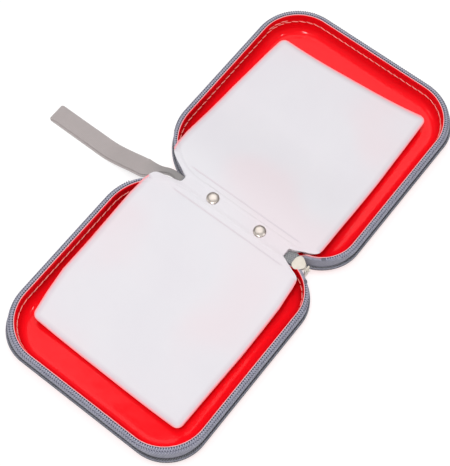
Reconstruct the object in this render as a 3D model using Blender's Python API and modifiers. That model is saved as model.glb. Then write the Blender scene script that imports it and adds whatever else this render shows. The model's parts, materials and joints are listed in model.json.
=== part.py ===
# Zipped disc wallet lying open on a table: two moulded halves side by side, joined by a cloth
# hinge, with a stack of disc sleeves riveted to the hinge and a wrist strap at one end of it.
# Metres, +Z up. The spine runs along Y, and the two halves open towards -X and +X.
# The origin is on the table, under the middle of the left half.

import math

import bmesh
import bpy
import numpy as np
from mathutils import Vector

mm = 0.001

# Running and seating gap between pieces that touch
fit_gap = 0.3 * mm

# The spine, seen from above
hinge_width = 7 * mm
hinge_side_room = 1.7 * mm

# Inner rim line of a tray, seen from above
tray_length = 155 * mm
tray_width = 148 * mm
outer_corner_radius = 30 * mm
hinge_corner_radius = 32 * mm

# Section of a tray
rim_height = 20 * mm
tray_wall = 1.4 * mm
tray_fillet = 7.5 * mm
tray_fillet_power = 2
tray_lean = 1 * mm
rim_drop_for_leaves = 6.8 * mm

# Hard cover under each tray
cover_wall = 2.5 * mm
cover_base_inset = 10 * mm
cover_corner_radius = 28 * mm
cover_hinge_corner_radius = 31 * mm
cover_corner_share = 0.6

# Piping between the cover and the zip tape
piping_radius = 1.5 * mm
piping_offset = 3.4 * mm
piping_height = 8 * mm

# Zip tape and coil
tape_thickness = 1.0 * mm
tape_bulge = 7 * mm
tape_start_offset = 3.9 * mm
tape_shoulder_share = 0.74
tape_shoulder_drop = 1.9 * mm
tape_edge_gap = 0.35 * mm
tape_drop_at_spine = 0.8 * mm
coil_radius = 0.8 * mm
coil_half_width = 1.25 * mm
coil_pitch = 5 * mm
coil_rib_depth = 0.35 * mm
coil_above_rim = 1.0 * mm
stop_length = 2.4 * mm

# Disc sleeves
leaf_reach = 138.5 * mm
leaf_side_room = 11 * mm
leaf_shift = 2 * mm
leaf_corner_radius = 4.5 * mm
leaf_notch_reach = 11.3 * mm
leaf_neck_flare = 9.75 * mm
stack_at_spine = 4 * mm
stack_below_fold = 1.45 * mm
stack_at_edge = 5.5 * mm
leaf_layers = 4
layer_step = 0.5 * mm
leaf_slope_end = 80 * mm
leaf_notch_cut = 4.5 * mm
leaf_notch_curve = 8 * mm
leaf_side_lift = 3.6 * mm
leaf_floor_gap = 0.5 * mm

# Margin of the sleeves, held by the rivets
margin_half_width = 7.5 * mm
margin_length = 88.5 * mm
margin_shift = 0.75 * mm
cloth_end_gap = 5.3 * mm
cloth_thickness = 1.0 * mm
cloth_corner_radius = 1 * mm

# Rivets
rivet_spacing = 40 * mm
rivet_head_radius = 4.5 * mm
rivet_head_height = 1.3 * mm
rivet_rim_height = 0.3 * mm
rivet_post_radius = 1.5 * mm
rivet_washer_radius = 3.2 * mm
rivet_washer_thickness = 0.8 * mm

# Zip slider and its pull
slider_inset = 16.5 * mm
slider_below_rim = 0.1 * mm
slider_length = 10.4 * mm
slider_width = 9.4 * mm
slider_neck = 6.4 * mm
slider_plate = 1.1 * mm
slider_height = 4.5 * mm
slider_core_width = 3 * mm
slider_tail_share = 0.72
slider_corner_radius = 2 * mm
bridge_width = 1.6 * mm
bridge_bar = 1.0 * mm
bridge_drop = 3.4 * mm
bridge_length = 6.6 * mm
bridge_setback = 2.5 * mm
pull_width = 5.2 * mm
pull_length = 10.5 * mm
pull_thickness = 1.1 * mm
pull_taper = 0.86
pull_corner_radius = 1.6 * mm
pull_slot_room = 0.9 * mm
pull_pin = 0.65 * mm
pull_axis_drop = 1.5 * mm

# Wrist strap
strap_width = 14.5 * mm
strap_root_width = 5.6 * mm
strap_thickness = 2 * mm
strap_reach = 156.5 * mm
strap_drift = -8.5 * mm
bend_radius = 0.5 * mm

# Heights that follow from the sizes above
floor_height = cover_wall + fit_gap + tray_wall
rim_start = hinge_width / 2 + hinge_side_room
coil_top = rim_height + coil_above_rim
hinge_height = coil_top + fit_gap / 2 - hinge_width / 2
stack_base = hinge_height - stack_below_fold
stack_top = stack_base + stack_at_spine
tape_base = piping_height + piping_radius + fit_gap
tape_top = coil_top - 2 * coil_radius - fit_gap
tape_inner = tray_wall + fit_gap
tape_wall_gap = tray_wall + tape_edge_gap
leaf_start = margin_half_width + fit_gap
leaf_width = tray_width - 2 * leaf_side_room
leaf_neck = tray_width / 2 - hinge_corner_radius + leaf_neck_flare
case_centre = rim_start + tray_length / 2
slider_top = rim_height - slider_below_rim
slider_y = slider_inset - tray_width / 2
slider_base = slider_top - slider_height
pull_axis_y = slider_y - bridge_setback
cloth_length = -2 * slider_y - slider_length - 2 * cloth_end_gap
pull_axis_z = slider_base - pull_axis_drop

# Steps round a corner, measured from the hinge side; the rim is low up to the second angle
hinge_angles = (0, 5, 11, 17, 29, 44, 59, 74, 90)
hinge_low = (1, 1, 0.5, 0, 0, 0, 0, 0, 0)
hinge_bulge = (0, 0, 0, 0, 0, 0.35, 0.8, 1, 1)
outer_angles = (0, 15, 30, 45, 60, 75, 90)


def smooth(t):
    t = min(max(t, 0.0), 1.0)
    return t * t * (3 - 2 * t)


def clear_scene():
    for thing in list(bpy.data.objects):
        bpy.data.objects.remove(thing, do_unlink=True)


def new_collection(name):
    collection = bpy.data.collections.new(name)
    bpy.context.scene.collection.children.link(collection)
    return collection


def plastic(name, colour, roughness, metallic=0.0):
    material = bpy.data.materials.new(name)
    material.use_nodes = True
    shader = material.node_tree.nodes["Principled BSDF"]
    shader.inputs["Base Color"].default_value = (*colour, 1)
    shader.inputs["Roughness"].default_value = roughness
    shader.inputs["Metallic"].default_value = metallic
    return material


def add_object(name, mesh, material, smooth_angle=35):
    thing = bpy.data.objects.new(name, mesh)
    parts.objects.link(thing)
    thing.parent = case_origin
    mesh.materials.append(material)
    mesh.shade_smooth()
    mesh.set_sharp_from_angle(angle=math.radians(smooth_angle))
    return thing


def corner_arc(centre_x, centre_y, radius, angles):
    return [
        (centre_x + radius * math.cos(math.radians(a)), centre_y + radius * math.sin(math.radians(a)))
        for a in angles
    ]


def rim_outline(offset, outer_radius, hinge_radius):
    """Points round a half, seen from above, offset outwards from the tray's inner rim line."""
    low = rim_start - offset
    high = rim_start + tray_length + offset
    side = tray_width / 2 + offset
    hinge_turns = [180 + a for a in hinge_angles]
    outer_turns = [270 + a for a in outer_angles]
    far = high - outer_radius
    down_corner = corner_arc(low + hinge_radius, hinge_radius - side, hinge_radius, hinge_turns)
    far_down = corner_arc(far, outer_radius - side, outer_radius, outer_turns)
    far_up = corner_arc(far, side - outer_radius, outer_radius, outer_angles)
    up_corner = [(x, -y) for x, y in reversed(down_corner)]
    return down_corner + far_down + far_up + up_corner


def per_station(values_at_hinge, value_elsewhere):
    outer = [value_elsewhere] * (2 * len(outer_angles))
    return list(values_at_hinge) + outer + list(reversed(values_at_hinge))


station_low = per_station(hinge_low, 0)
station_bulge = per_station(hinge_bulge, 1)
station_rim = [rim_height - rim_drop_for_leaves * low for low in station_low]


def loft(name, rings, side, close_round=True, floor=False, ends=False):
    """A mesh through rings of equal length; the left half is the mirror image of the right."""
    builder = bmesh.new()
    rows = [[builder.verts.new((side * x, y, z)) for x, y, z in ring] for ring in rings]
    count = len(rings[0])
    last = count if close_round else count - 1
    for low, high in zip(rows, rows[1:]):
        for j in range(last):
            k = (j + 1) % count
            builder.faces.new((low[j], low[k], high[k], high[j]))
    if floor:
        builder.faces.new(list(reversed(rows[0])))
    if ends:
        builder.faces.new(list(reversed(rows[0])))
        builder.faces.new(rows[-1])
    if ends:
        bmesh.ops.recalc_face_normals(builder, faces=builder.faces)
    elif side < 0:
        bmesh.ops.reverse_faces(builder, faces=builder.faces)
    mesh = bpy.data.meshes.new(name)
    builder.to_mesh(mesh)
    builder.free()
    return mesh


def thicken(thing, thickness, outward):
    solidify = thing.modifiers.new("Wall", "SOLIDIFY")
    solidify.thickness = thickness
    solidify.offset = 1 if outward else -1
    solidify.use_even_offset = True


def tray_section(angle):
    """Inset from the rim line and height of the tray's inner face, from floor (0) to rim (90)."""
    c = math.cos(angle)
    inset = tray_fillet * (1 - math.sin(angle)) ** tray_fillet_power + tray_lean * c
    return inset, floor_height + (rim_height - floor_height) * (1 - c)


def make_tray(label, side):
    """Moulded tray: flat floor, wide fillet, and a wall that leans out to a rim, low at the spine."""
    levels = 7
    rings = []
    for level in range(levels + 1):
        ring = []
        for station, rim in enumerate(station_rim):
            top_angle = math.acos(1 - (rim - floor_height) / (rim_height - floor_height))
            inset, height = tray_section(top_angle * level / levels)
            x, y = rim_outline(-inset, outer_corner_radius - inset, hinge_corner_radius - inset)[station]
            ring.append((x, y, height))
        rings.append(ring)
    tray = add_object(label + "_tray", loft(label + "_tray", rings, side, floor=True), red_gloss)
    thicken(tray, tray_wall, outward=True)


def make_cover(label, side):
    """Hard cover: flat base and a rounded side that ends under the piping."""
    top = piping_height - piping_radius - fit_gap
    levels = 5
    rings = []
    for level in range(levels + 1):
        angle = math.pi / 2 * level / levels
        offset = piping_offset - (cover_base_inset + piping_offset) * (1 - math.sin(angle))
        height = top * (1 - math.cos(angle))
        shrink = (piping_offset - offset) * cover_corner_share
        outline = rim_outline(offset, cover_corner_radius - shrink, cover_hinge_corner_radius - shrink)
        rings.append([(x, y, height) for x, y in outline])
    cover = add_object(label + "_cover", loft(label + "_cover", rings, side, floor=True), red_gloss)
    thicken(cover, cover_wall, outward=False)


def make_piping(label, side):
    """Round cord sewn in between the cover and the zip tape."""
    curve = bpy.data.curves.new(label + "_piping", "CURVE")
    curve.dimensions = "3D"
    curve.bevel_depth = piping_radius
    curve.bevel_resolution = 2
    outline = rim_outline(piping_offset, cover_corner_radius, cover_hinge_corner_radius)
    spline = curve.splines.new("POLY")
    spline.points.add(len(outline) - 1)
    for point, (x, y) in zip(spline.points, outline):
        point.co = (side * x, y, piping_height, 1)
    spline.use_cyclic_u = True
    thing = bpy.data.objects.new(label + "_piping", curve)
    parts.objects.link(thing)
    thing.parent = case_origin
    curve.materials.append(grey_piping)


def tape_point(station, share):
    """Outer face of the tape: share 0 at the piping, 1 at the coil. It bulges except at the spine."""
    bulge = station_bulge[station]
    leg_height = tape_base + (station_rim[station] - tape_drop_at_spine - tape_base) * share
    leg = tape_inner + tape_thickness
    shoulder = tape_top - tape_shoulder_drop
    if share < tape_shoulder_share:
        t = share / tape_shoulder_share
        offset = tape_start_offset + (tape_bulge - tape_start_offset) * math.sin(t * math.pi / 2)
        height = tape_base + (shoulder - tape_base) * t
    else:
        t = (share - tape_shoulder_share) / (1 - tape_shoulder_share)
        offset = tape_bulge + (tape_wall_gap - tape_bulge) * t
        height = shoulder + tape_shoulder_drop * math.sin(t * math.pi / 2)
    mixed_offset = leg + (offset - leg) * bulge
    mixed_height = leg_height + (height - leg_height) * bulge
    radius_share = min(share / tape_shoulder_share, 1)
    bulged_radius = outer_corner_radius + tape_bulge
    outer_radius = cover_corner_radius + (bulged_radius - cover_corner_radius) * radius_share
    if share > tape_shoulder_share:
        outer_radius = outer_corner_radius + mixed_offset
    hinge_radius = hinge_corner_radius + mixed_offset
    x, y = rim_outline(mixed_offset, outer_radius, hinge_radius)[station]
    return x, y, mixed_height


def make_tape(label, side):
    """Woven zip tape: from the piping it bulges up and over to the tray's rim."""
    shares = (0, 0.26, 0.52, 0.74, 0.8, 0.88, 1)
    rings = [[tape_point(station, share) for station in range(len(station_rim))] for share in shares]
    tape = add_object(label + "_zip_tape", loft(label + "_zip_tape", rings, side), grey_tape, 50)
    thicken(tape, tape_thickness, outward=False)


def coil_path():
    """The coil's route, outside the rim, from one spine end round to the other."""
    offset = tape_inner + coil_half_width
    outline = rim_outline(offset, outer_corner_radius + offset, hinge_corner_radius + offset)
    first = hinge_angles.index(44)
    stations = [np.array(p) for p in outline[first: len(outline) - first]]
    return stations


def along(points, distance):
    """Point and direction at a distance along a line of points."""
    for start, end in zip(points, points[1:]):
        step = np.linalg.norm(end - start)
        if distance <= step:
            return start + (end - start) * distance / step, (end - start) / step
        distance -= step
    return points[-1], (points[-1] - points[-2]) / np.linalg.norm(points[-1] - points[-2])


def length_of(points):
    return sum(np.linalg.norm(b - a) for a, b in zip(points, points[1:]))


def coil_section(centre, direction, half_width, radius, corners=6):
    outward = np.array((direction[1], -direction[0]))
    ring = []
    for i in range(corners):
        turn = 2 * math.pi * (i + 0.5) / corners
        flat = centre + outward * half_width * math.cos(turn)
        ring.append((flat[0], flat[1], coil_top - coil_radius + radius * math.sin(turn)))
    return ring


def make_coil(label, side):
    """Nylon coil with one rib per pitch, and a stop at each end of it."""
    points = coil_path()
    total = length_of(points)
    ribs = round(total / coil_pitch)
    first = stop_length + fit_gap
    rings = []
    for i in range(2 * ribs + 1):
        centre, direction = along(points, first + (total - 2 * first) * i / (2 * ribs))
        swell = 0 if i % 2 else coil_rib_depth
        rings.append(coil_section(centre, direction, coil_half_width - swell, coil_radius - swell))
    mesh = loft(label + "_zip_coil", rings, side, ends=True)
    add_object(label + "_zip_coil", mesh, grey_coil)
    for place, name in ((0, "_lower_stop"), (total - stop_length, "_upper_stop")):
        rings = []
        for step in (0, 1):
            centre, direction = along(points, place + stop_length * step)
            rings.append(coil_section(centre, direction, coil_half_width, coil_radius, 8))
        add_object(label + name, loft(label + name, rings, side, ends=True), nickel)


def rim_distance(x, y):
    """How far a point seen from above lies inside the tray's rim line."""
    radius = hinge_corner_radius if x < rim_start + tray_length / 2 else outer_corner_radius
    half = tray_length / 2
    qx = abs(x - rim_start - half) - half + radius
    qy = abs(y) - tray_width / 2 + radius
    outside = math.hypot(max(qx, 0), max(qy, 0)) + min(max(qx, qy), 0)
    return radius - outside


tray_angles = [math.radians(a) for a in range(90, -1, -2)]
tray_insets = [tray_section(a)[0] for a in tray_angles]
tray_heights = [tray_section(a)[1] for a in tray_angles]


def tray_height(x, y):
    return float(np.interp(rim_distance(x, y), tray_insets, tray_heights))


def leaf_edges(x):
    """Lower and upper edge of the sleeves at a distance from the spine: a neck, then full width."""
    half = leaf_width / 2
    share = min(max((x - leaf_start) / (leaf_notch_reach - leaf_start), 0), 1)
    edge = leaf_neck + (half - leaf_notch_cut - leaf_neck) * share
    if x > leaf_notch_reach:
        edge = half - leaf_notch_cut * (1 - smooth((x - leaf_notch_reach) / leaf_notch_curve))
    into_corner = x - (leaf_reach - leaf_corner_radius)
    if into_corner > 0:
        edge = half - leaf_corner_radius + math.sqrt(max(leaf_corner_radius ** 2 - into_corner ** 2, 0))
    middle = margin_shift + (leaf_shift - margin_shift) * smooth(x / leaf_slope_end)
    return middle - edge, middle + edge


def leaf_base(x, y):
    """Underside of the sleeves: level at the spine, then down into the tray, sagging between its sides."""
    fall = smooth((x - leaf_notch_reach) / (leaf_slope_end - leaf_notch_reach))
    resting = floor_height + leaf_floor_gap
    level = stack_base + (resting - stack_base) * fall
    low, high = leaf_edges(x)
    across = abs(y - (low + high) / 2) / ((high - low) / 2)
    lift = leaf_side_lift * across ** 3 * fall
    return max(level + lift, tray_height(x, y) + 2 * fit_gap if x > leaf_notch_reach else 0)


def make_pages(label, side):
    """All the sleeves of one side as one solid, with stepped layers along its edges."""
    across = 10
    flat = np.linspace(leaf_notch_reach, leaf_reach - leaf_corner_radius, 12)
    rounded = leaf_reach - leaf_corner_radius + leaf_corner_radius * np.sin(np.radians((30, 55, 75, 90)))
    curve = [leaf_notch_reach + leaf_notch_curve * share for share in (0, 0.5, 1)]
    stations = [leaf_start, *curve, *flat[1:], *rounded]
    rings = []
    for x in stations:
        low, high = leaf_edges(x)
        thickness = stack_at_spine + (stack_at_edge - stack_at_spine) * smooth(x / leaf_slope_end)
        ys = [low + (high - low) * i / across for i in range(across + 1)]
        under = [(x, y, leaf_base(x, y)) for y in ys]
        over = [(x, y, leaf_base(x, y) + thickness) for y in reversed(ys)]
        up_side = layer_edge(x, high, thickness, -layer_step)
        down_side = layer_edge(x, low, thickness, layer_step)
        rings.append(under + up_side + over + list(reversed(down_side)))
    mesh = loft(label + "_pages", rings, side, ends=True)
    add_object(label + "_pages", mesh, clear_sleeve, 30)


def layer_edge(x, y, thickness, step):
    """Points up an edge of the stack, in and out between the layers."""
    base = leaf_base(x, y)
    count = 2 * leaf_layers - 1
    return [
        (x, y + (step if i % 2 else 0), base + thickness * i / (count + 1))
        for i in range(1, count + 1)
    ]


def rounded_polygon(corners, steps=4):
    """Closed outline through (x, y, radius) corners, each rounded by an arc."""
    outline = []
    count = len(corners)
    for i, (x, y, radius) in enumerate(corners):
        here = Vector((x, y))
        before = (Vector(corners[i - 1][:2]) - here).normalized()
        after = (Vector(corners[(i + 1) % count][:2]) - here).normalized()
        if radius <= 0:
            outline.append(here)
            continue
        half = before.angle(after) / 2
        reach = radius / math.tan(half)
        centre = here + (before + after).normalized() * radius / math.sin(half)
        start = here + before * reach - centre
        turn = (here + after * reach - centre).angle_signed(start)
        for step in range(steps + 1):
            angle = turn * step / steps
            c, s = math.cos(angle), math.sin(angle)
            outline.append(centre + Vector((start.x * c - start.y * s, start.x * s + start.y * c)))
    return outline


def extruded(name, outline, low, high, place):
    """A prism over an outline; place turns (u, v, w) into a point."""
    builder = bmesh.new()
    bottom = [builder.verts.new(place(p[0], p[1], low)) for p in outline]
    top = [builder.verts.new(place(p[0], p[1], high)) for p in outline]
    builder.faces.new(bottom)
    builder.faces.new(top)
    for i in range(len(outline)):
        j = (i + 1) % len(outline)
        builder.faces.new((bottom[i], bottom[j], top[j], top[i]))
    bmesh.ops.recalc_face_normals(builder, faces=builder.faces)
    mesh = bpy.data.meshes.new(name)
    builder.to_mesh(mesh)
    builder.free()
    return mesh


def upright(x, y, z):
    return x, y, z


def sideways(y, z, x):
    return x, y, z


def lengthways(x, z, y):
    return x, y, z


def cutter_cylinder(name, x, y, low, high, radius):
    builder = bmesh.new()
    bmesh.ops.create_cone(
        builder, cap_ends=True, segments=20, radius1=radius, radius2=radius, depth=high - low
    )
    bmesh.ops.translate(builder, verts=builder.verts, vec=(x, y, (low + high) / 2))
    return add_cutter(name, builder)


def add_cutter(name, builder):
    mesh = bpy.data.meshes.new(name)
    builder.to_mesh(mesh)
    builder.free()
    thing = bpy.data.objects.new(name, mesh)
    return keep_as_cutter(thing)


def keep_as_cutter(thing):
    cutters.objects.link(thing)
    thing.parent = case_origin
    thing.hide_render = True
    thing.display_type = "WIRE"
    return thing


def boolean(thing, other, operation):
    modifier = thing.modifiers.new(operation.title(), "BOOLEAN")
    modifier.operation = operation
    modifier.solver = "EXACT"
    modifier.object = other


def rivet_places():
    return [("upper", rivet_spacing / 2), ("lower", -rivet_spacing / 2)]


def margin_section(steps=4):
    """Section across the margin: its long edges are arcs round the two folds, so the halves clear it."""
    fold = hinge_width / 2
    radius = margin_half_width - fold
    low = math.asin((stack_base - hinge_height) / radius)
    high = math.asin((stack_top - hinge_height) / radius)
    angles = [low + (high - low) * i / steps for i in range(steps + 1)]
    edge = [(fold + radius * math.cos(a), hinge_height + radius * math.sin(a)) for a in angles]
    return edge + [(-x, z) for x, z in reversed(edge)]


def make_margin_and_cloth():
    """The sleeves' margin lies on the hinge cloth, and both are pierced for the rivets."""
    half = margin_length / 2
    section = margin_section()
    margin_mesh = extruded("binding_margin", section, margin_shift - half, margin_shift + half, lengthways)
    margin = add_object("binding_margin", margin_mesh, clear_sleeve)
    cloth_top = stack_base - fit_gap
    cloth_half = cloth_length / 2
    strip = hinge_width / 2
    corners = [(-strip, -cloth_half), (strip, -cloth_half), (strip, cloth_half), (-strip, cloth_half)]
    outline = rounded_polygon([(x, y, cloth_corner_radius) for x, y in corners])
    cloth_mesh = extruded("hinge_cloth", outline, cloth_top - cloth_thickness, cloth_top, upright)
    cloth = add_object("hinge_cloth", cloth_mesh, grey_cloth)
    for name, y in rivet_places():
        below = cloth_top - 2 * cloth_thickness
        above = stack_top + cloth_thickness
        hole = cutter_cylinder(name + "_rivet_hole", 0, y, below, above, rivet_post_radius + fit_gap)
        boolean(margin, hole, "DIFFERENCE")
        boolean(cloth, hole, "DIFFERENCE")


def turned(name, profile, y, material):
    """A solid turned about Z from (radius, height) points that start and end on the axis."""
    mesh = bpy.data.meshes.new(name)
    edges = [(i, i + 1) for i in range(len(profile) - 1)]
    mesh.from_pydata([(r, 0, z) for r, z in profile], edges, [])
    thing = add_object(name, mesh, material)
    thing.location = (0, y, 0)
    screw = thing.modifiers.new("Turn", "SCREW")
    screw.steps = 24
    screw.render_steps = 24
    screw.use_merge_vertices = True
    screw.merge_threshold = 0.00001
    return thing


def make_rivets():
    """Domed heads on posts that pass through the margin and the cloth into washers below."""
    seat = stack_top + fit_gap
    washer_top = stack_base - 2 * fit_gap - cloth_thickness
    washer_base = washer_top - rivet_washer_thickness
    for name, y in rivet_places():
        rise = rivet_head_height - rivet_rim_height
        rim = seat + rivet_rim_height
        turns = np.radians((18, 36, 54, 72, 90))
        dome = [(0, rim + rise)]
        dome += [(rivet_head_radius * math.sin(a), rim + rise * math.cos(a)) for a in turns]
        profile = dome + [
            (rivet_head_radius, seat),
            (rivet_post_radius, seat),
            (rivet_post_radius, washer_base),
            (0, washer_base),
        ]
        turned(name + "_rivet", profile, y, nickel)
        hole = rivet_post_radius + fit_gap
        ring = [
            (hole, washer_top),
            (rivet_washer_radius, washer_top),
            (rivet_washer_radius, washer_base),
            (hole, washer_base),
            (hole, washer_top),
        ]
        turned(name + "_rivet_washer", ring, y, nickel)


def make_slider():
    """Slider body: two shield-shaped plates on a core, with the pull's bridge underneath."""
    near = slider_y + slider_length / 2
    far = slider_y - slider_length / 2
    half = slider_width / 2
    tail = half * slider_tail_share
    shield = rounded_polygon([
        (-slider_neck / 2, near, bend_radius),
        (-half, slider_y, slider_corner_radius),
        (-tail, far, slider_corner_radius),
        (tail, far, slider_corner_radius),
        (half, slider_y, slider_corner_radius),
        (slider_neck / 2, near, bend_radius),
    ])
    core_half = slider_core_width / 2
    front = near - slider_plate
    back = far + slider_corner_radius
    core = [(-core_half, front), (-core_half, back), (core_half, back), (core_half, front)]
    body = add_object(
        "zip_slider", extruded("zip_slider", shield, slider_top - slider_plate, slider_top, upright), nickel
    )
    overlap = slider_plate / 5
    lower = extruded("slider_lower_plate", shield, slider_base, slider_base + slider_plate, upright)
    core_low = slider_base + slider_plate - overlap
    core_high = slider_top - slider_plate + overlap
    middle = extruded("slider_core", core, core_low, core_high, upright)
    start = pull_axis_y + bridge_length / 2
    end = pull_axis_y - bridge_length / 2
    bottom = slider_base - bridge_drop
    root = slider_base + overlap
    outer = [(start, root), (start, bottom + bridge_bar), (start - bridge_bar, bottom)]
    outer += [(2 * pull_axis_y - y, z) for y, z in reversed(outer)]
    corner = 1.3 * bridge_bar
    side = end + bridge_bar
    inner = [(side, root), (side, bottom + corner), (end + corner, bottom + bridge_bar)]
    inner += [(2 * pull_axis_y - y, z) for y, z in reversed(inner)]
    arch = outer + inner
    bridge = extruded("slider_bridge", arch, -bridge_width / 2, bridge_width / 2, sideways)
    for mesh in (middle, lower, bridge):
        boolean(body, keep_as_cutter(bpy.data.objects.new(mesh.name, mesh)), "UNION")


def make_pull():
    """Pull tab hanging from the bridge: its slot goes round the bridge, under the pin at its top."""
    pivot = bpy.data.objects.new("pull_pivot", None)
    parts.objects.link(pivot)
    pivot.parent = case_origin
    pivot.location = (0, pull_axis_y, pull_axis_z)
    half = pull_width / 2
    plate = rounded_polygon([
        (-half, pull_pin, bend_radius),
        (-half * pull_taper, -pull_length, pull_corner_radius),
        (half * pull_taper, -pull_length, pull_corner_radius),
        (half, pull_pin, bend_radius),
    ])
    mesh = extruded("pull_tab", plate, -pull_thickness / 2, pull_thickness / 2, lambda x, z, y: (x, y, z))
    tab = add_object("pull_tab", mesh, nickel)
    tab.parent = pivot
    slot_half = bridge_width / 2 + fit_gap
    slot_end = -(bridge_length / 2 + pull_slot_room)
    slot = [(-slot_half, -pull_pin), (-slot_half, slot_end), (slot_half, slot_end), (slot_half, -pull_pin)]
    cut = extruded("pull_slot", slot, -pull_thickness, pull_thickness, lambda x, z, y: (x, y, z))
    cutter = keep_as_cutter(bpy.data.objects.new("pull_slot", cut))
    cutter.parent = pivot
    boolean(tab, cutter, "DIFFERENCE")


def strap_route():
    """Middle line and width of the strap: out of the notch, over the zips' ends, down to the table."""
    root = cloth_length / 2 + fit_gap
    lying = fit_gap + strap_thickness / 2
    held = stack_base - fit_gap - cloth_thickness / 2
    run = strap_reach - root
    shares = (0, 0.04, 0.09, 0.15, 0.21, 0.28, 0.36, 0.45, 0.55, 0.66, 0.78, 0.9, 1)
    route = []
    for share in shares:
        y = root + run * share
        x = strap_drift * smooth(share * 0.85 + 0.05)
        fall = smooth((share - 0.16) / 0.42)
        z = held + (lying - held) * fall
        width = strap_root_width + (strap_width - strap_root_width) * smooth((share - 0.02) / 0.15)
        route.append((x, y, z, width))
    return route


def make_strap():
    """Flat double ribbon, as one solid band that follows its route."""
    route = strap_route()
    rings = []
    for i, (x, y, z, width) in enumerate(route):
        before = Vector(route[max(i - 1, 0)][:3])
        after = Vector(route[min(i + 1, len(route) - 1)][:3])
        direction = (after - before).normalized()
        across = direction.cross(Vector((0, 0, 1))).normalized()
        up = across.cross(direction)
        middle = Vector((x, y, z))
        a = across * width / 2
        b = up * strap_thickness / 2
        rings.append([tuple(p) for p in (middle - a - b, middle + a - b, middle + a + b, middle - a + b)])
    add_object("wrist_strap", loft("wrist_strap", rings, 1, ends=True), grey_strap)


clear_scene()
parts = new_collection("cd_storage_case")
cutters = new_collection("cutters")
case_origin = bpy.data.objects.new("case_origin", None)
parts.objects.link(case_origin)
case_origin.location = (case_centre, 0, 0)

red_gloss = plastic("red_gloss_plastic", (0.89, 0.012, 0.018), 0.28)
clear_sleeve = plastic("clear_sleeve_film", (0.80, 0.79, 0.82), 0.45)
grey_tape = plastic("grey_zip_tape", (0.38, 0.41, 0.47), 0.9)
grey_coil = plastic("grey_nylon_coil", (0.20, 0.21, 0.24), 0.5)
grey_piping = plastic("grey_piping", (0.16, 0.165, 0.18), 0.8)
grey_cloth = plastic("grey_hinge_cloth", (0.33, 0.33, 0.35), 0.9)
grey_strap = plastic("grey_satin_ribbon", (0.41, 0.37, 0.36), 0.55)
nickel = plastic("nickel", (0.78, 0.74, 0.68), 0.25, 1.0)

for half_name, half_side in (("left", -1), ("right", 1)):
    make_cover(half_name, half_side)
    make_tray(half_name, half_side)
    make_piping(half_name, half_side)
    make_tape(half_name, half_side)
    make_coil(half_name, half_side)
    make_pages(half_name, half_side)
make_margin_and_cloth()
make_rivets()
make_slider()
make_pull()
make_strap()
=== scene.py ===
import json
import math

import bmesh
import bpy
import numpy as np
from mathutils import Matrix, Vector


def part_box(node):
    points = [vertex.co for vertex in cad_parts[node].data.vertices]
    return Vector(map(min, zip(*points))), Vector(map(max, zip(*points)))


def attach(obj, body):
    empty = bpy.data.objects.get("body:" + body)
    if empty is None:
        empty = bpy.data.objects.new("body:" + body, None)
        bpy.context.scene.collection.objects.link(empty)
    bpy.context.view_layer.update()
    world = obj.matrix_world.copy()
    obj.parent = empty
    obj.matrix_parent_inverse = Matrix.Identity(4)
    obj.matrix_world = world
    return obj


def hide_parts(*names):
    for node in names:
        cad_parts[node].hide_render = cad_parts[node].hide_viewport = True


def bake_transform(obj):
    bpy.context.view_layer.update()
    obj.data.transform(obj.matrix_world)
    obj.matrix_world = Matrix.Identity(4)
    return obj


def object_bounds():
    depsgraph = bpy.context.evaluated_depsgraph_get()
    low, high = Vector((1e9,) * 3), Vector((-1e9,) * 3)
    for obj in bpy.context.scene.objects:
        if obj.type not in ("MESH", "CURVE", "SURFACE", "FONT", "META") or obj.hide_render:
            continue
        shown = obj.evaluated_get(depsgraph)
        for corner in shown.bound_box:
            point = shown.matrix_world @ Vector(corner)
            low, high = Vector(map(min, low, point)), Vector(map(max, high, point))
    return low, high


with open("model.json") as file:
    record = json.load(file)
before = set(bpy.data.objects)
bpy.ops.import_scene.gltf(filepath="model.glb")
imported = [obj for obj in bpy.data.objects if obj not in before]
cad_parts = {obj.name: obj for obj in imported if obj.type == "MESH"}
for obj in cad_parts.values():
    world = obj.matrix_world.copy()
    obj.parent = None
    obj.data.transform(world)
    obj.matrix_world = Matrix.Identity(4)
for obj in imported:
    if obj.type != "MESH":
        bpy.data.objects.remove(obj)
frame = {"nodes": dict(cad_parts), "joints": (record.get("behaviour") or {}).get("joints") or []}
cadLow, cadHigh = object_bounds()
mm = 0.001

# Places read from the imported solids. Every shape below is worked out in millimetres from the spine's
# middle line (x = 0), for the right half; the left half mirrors it when its mesh is made.
joints = {joint["name"]: joint for joint in frame["joints"]}
spineX = (joints["spine_fold"]["pos_m"][0] + joints["lid_fold"]["pos_m"][0]) / 2 / mm
sides = {"left": -1, "right": 1}


def cadBox(node):
    # lowest and highest corner of a solid, in millimetres from the spine's middle line
    low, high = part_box(node)
    return np.array(low) / mm - (spineX, 0, 0), np.array(high) / mm - (spineX, 0, 0)


half = {
    "wall": 1.4,  # thickness of the moulded tray
    "outerRadius": 30,  # rim line's corners, seen from above
    "hingeRadius": 26,
    "rounder": 11,  # how much larger that radius is at the strap's end, where the sleeves lie over the rim
    "stepDegrees": 3,
    "stepSide": 3.5,
    "bowTurn": (34, 56),  # degrees round a hinge corner where the zip tape starts to bow, and over how many
}
trayLow, trayHigh = cadBox("right_tray")
rimStart = trayLow[0] + half["wall"]
rimEnd = trayHigh[0] - half["wall"]
rimSide = trayHigh[1] - half["wall"]
rimTop = trayHigh[2]
coverTop = cadBox("right_cover")[1][2]
stackBase = cadBox("binding_margin")[0][2]
strapLow, strapHigh = cadBox("wrist_strap")
closing = np.linspace(0, 1, 5)  # sizes of the rings that close a floor at its middle


def smooth(value, start=0, reach=1):
    # nought before start, one from start + reach on, and 3 t squared less 2 t cubed between them
    t = np.clip((value - start) / reach, 0, 1)
    return t * t * (3 - 2 * t)


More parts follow.
